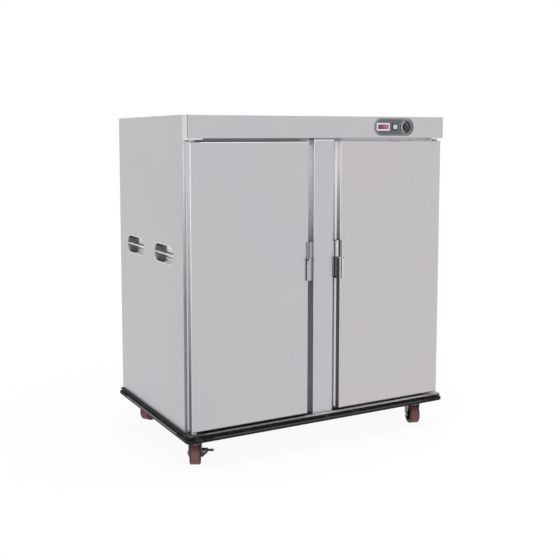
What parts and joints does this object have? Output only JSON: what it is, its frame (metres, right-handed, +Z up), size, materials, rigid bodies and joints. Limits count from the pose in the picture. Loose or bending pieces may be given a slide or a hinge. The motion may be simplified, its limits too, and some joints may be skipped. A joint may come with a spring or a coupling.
{
  "type": "food warmer cart",
  "caption": "Insulated stainless steel food warmer cart with side-hinged doors, lever latches, fascia controls, recessed side grips, wraparound bumper and swivel casters.",
  "frame": {"origin": "on the floor under the middle of the cart's bounding box", "axes": "+Z up, +X to the right as seen from the doors, +Y to the rear; the doors face -Y"},
  "size_m": [1.44, 0.91, 1.583],
  "materials": {
    "stainless_panel": "satin stainless sheet, vertical grain",
    "stainless_liner": "2B mill finish stainless sheet",
    "polished_steel": "polished stainless",
    "zinc_steel": "zinc plated pressed steel",
    "painted_base": "black powder coat",
    "bumper_rubber": "extruded black rubber",
    "gasket_silicone": "pale grey seal with its moulded carrier",
    "foam": "rigid polyurethane foam",
    "bezel_plastic": "dark grey-green moulded plastic",
    "display_plastic": "white moulded plastic",
    "display_glass": "lit red window",
    "black_plastic": "black moulded plastic",
    "rocker_plastic": "pale lit rocker",
    "nylon": "black nylon",
    "heater_sheath": "heat-tinted steel sheath",
    "wheel_core": "black moulded core",
    "tread_polyurethane": "red-brown polyurethane tread",
    "pedal_black": "black painted steel"
  },
  "bodies": {
    "cabinet": {"base_frame": "painted_base", "bumper_rail": "polished_steel", "rubber_bumper": "bumper_rubber", "caster_swivel_plates": "zinc_steel", "floor_pan": "stainless_panel", "left_side_panel": "stainless_panel", "right_side_panel": "stainless_panel", "rear_panel": "stainless_panel", "roof_panel": "stainless_panel", "insulation_boards": "foam", "cavity_liners": "stainless_liner", "front_frame": "stainless_panel", "centre_post": "stainless_panel", "latch_strikes": "polished_steel", "fascia": "stainless_panel", "control_bezel": "bezel_plastic", "display_housing": "display_plastic", "display_window": "display_glass", "switch_housing": "black_plastic", "thermostat_body": "black_plastic", "hinge_plates": "polished_steel", "hinge_washers": "nylon", "grip_cups": "polished_steel", "grip_bars": "polished_steel", "tray_slides": "stainless_liner", "heater_elements": "heater_sheath", "heater_covers": "stainless_liner", "cord_gland": "nylon"},
    "left_door": {"left_door_skin": "stainless_panel", "left_door_foam": "foam", "left_door_panel": "stainless_liner", "left_door_gasket": "gasket_silicone", "left_latch_case": "polished_steel"},
    "left_latch": {"left_latch_lever": "polished_steel"},
    "right_door": {"right_door_skin": "stainless_panel", "right_door_foam": "foam", "right_door_panel": "stainless_liner", "right_door_gasket": "gasket_silicone", "right_latch_case": "polished_steel"},
    "right_latch": {"right_latch_lever": "polished_steel"},
    "power_rocker": {"rocker_cap": "rocker_plastic"},
    "thermostat_dial": {"thermostat_knob": "black_plastic"},
    "front_left_caster": {"front_left_fork": "zinc_steel", "front_left_axle": "zinc_steel"},
    "front_left_wheel": {"front_left_wheel_core": "wheel_core", "front_left_tyre": "tread_polyurethane"},
    "front_left_brake": {"front_left_brake_pedal": "pedal_black"},
    "front_right_caster": {"front_right_fork": "zinc_steel", "front_right_axle": "zinc_steel"},
    "front_right_wheel": {"front_right_wheel_core": "wheel_core", "front_right_tyre": "tread_polyurethane"},
    "rear_left_caster": {"rear_left_fork": "zinc_steel", "rear_left_axle": "zinc_steel"},
    "rear_left_wheel": {"rear_left_wheel_core": "wheel_core", "rear_left_tyre": "tread_polyurethane"},
    "rear_right_caster": {"rear_right_fork": "zinc_steel", "rear_right_axle": "zinc_steel"},
    "rear_right_wheel": {"rear_right_wheel_core": "wheel_core", "rear_right_tyre": "tread_polyurethane"},
    "rear_right_brake": {"rear_right_brake_pedal": "pedal_black"}
  },
  "joints": [
    {"name": "left_door_hinge", "type": "hinge", "parent": "cabinet", "child": "left_door", "pos_m": [-0.6695, -0.411, 0.8215], "axis": [0, 0, -1], "range_deg": [0, 180]},
    {"name": "left_latch_pull", "type": "hinge", "parent": "left_door", "child": "left_latch", "pos_m": [-0.0825, -0.4458, 0.9155], "axis": [-1, 0, 0], "range_deg": [0, 40], "stiffness_Nm_per_rad": 0.8},
    {"name": "right_door_hinge", "type": "hinge", "parent": "cabinet", "child": "right_door", "pos_m": [0.6695, -0.411, 0.8215], "axis": [0, 0, 1], "range_deg": [0, 180]},
    {"name": "right_latch_pull", "type": "hinge", "parent": "right_door", "child": "right_latch", "pos_m": [0.0825, -0.4458, 0.9155], "axis": [-1, 0, 0], "range_deg": [0, 40], "stiffness_Nm_per_rad": 0.8},
    {"name": "power_rocker_tilt", "type": "hinge", "parent": "cabinet", "child": "power_rocker", "pos_m": [0.398, -0.439, 1.5335], "axis": [0, 0, 1], "range_deg": [-14, 0]},
    {"name": "thermostat_turn", "type": "hinge", "parent": "cabinet", "child": "thermostat_dial", "pos_m": [0.462, -0.439, 1.5335], "axis": [0, 1, 0], "range_deg": [0, 270]},
    {"name": "front_left_swivel", "type": "hinge", "parent": "cabinet", "child": "front_left_caster", "pos_m": [-0.6185, -0.3135, 0.118], "axis": [0, 0, 1], "continuous": true},
    {"name": "front_left_roll", "type": "hinge", "parent": "front_left_caster", "child": "front_left_wheel", "pos_m": [-0.63439, -0.34469, 0.05], "axis": [0.891, -0.454, 0], "continuous": true},
    {"name": "front_left_brake_press", "type": "hinge", "parent": "front_left_caster", "child": "front_left_brake", "pos_m": [-0.58761, -0.36852, 0.065], "axis": [0.454, 0.891, 0], "range_deg": [0, 25]},
    {"name": "front_right_swivel", "type": "hinge", "parent": "cabinet", "child": "front_right_caster", "pos_m": [0.6185, -0.3135, 0.118], "axis": [0, 0, 1], "continuous": true},
    {"name": "front_right_roll", "type": "hinge", "parent": "front_right_caster", "child": "front_right_wheel", "pos_m": [0.60682, -0.34649, 0.05], "axis": [0.9426, -0.3338, 0], "continuous": true},
    {"name": "rear_left_swivel", "type": "hinge", "parent": "cabinet", "child": "rear_left_caster", "pos_m": [-0.6185, 0.325, 0.118], "axis": [0, 0, 1], "continuous": true},
    {"name": "rear_left_roll", "type": "hinge", "parent": "rear_left_caster", "child": "rear_left_wheel", "pos_m": [-0.58983, 0.34508, 0.05], "axis": [-0.5736, 0.8192, 0], "continuous": true},
    {"name": "rear_right_swivel", "type": "hinge", "parent": "cabinet", "child": "rear_right_caster", "pos_m": [0.6185, 0.325, 0.118], "axis": [0, 0, 1], "continuous": true},
    {"name": "rear_right_roll", "type": "hinge", "parent": "rear_right_caster", "child": "rear_right_wheel", "pos_m": [0.62337, 0.35966, 0.05], "axis": [-0.9903, 0.1392, 0], "continuous": true},
    {"name": "rear_right_brake_press", "type": "hinge", "parent": "rear_right_caster", "child": "rear_right_brake", "pos_m": [0.57138, 0.36697, 0.065], "axis": [-0.1392, -0.9903, 0], "range_deg": [0, 25]}
  ]
}
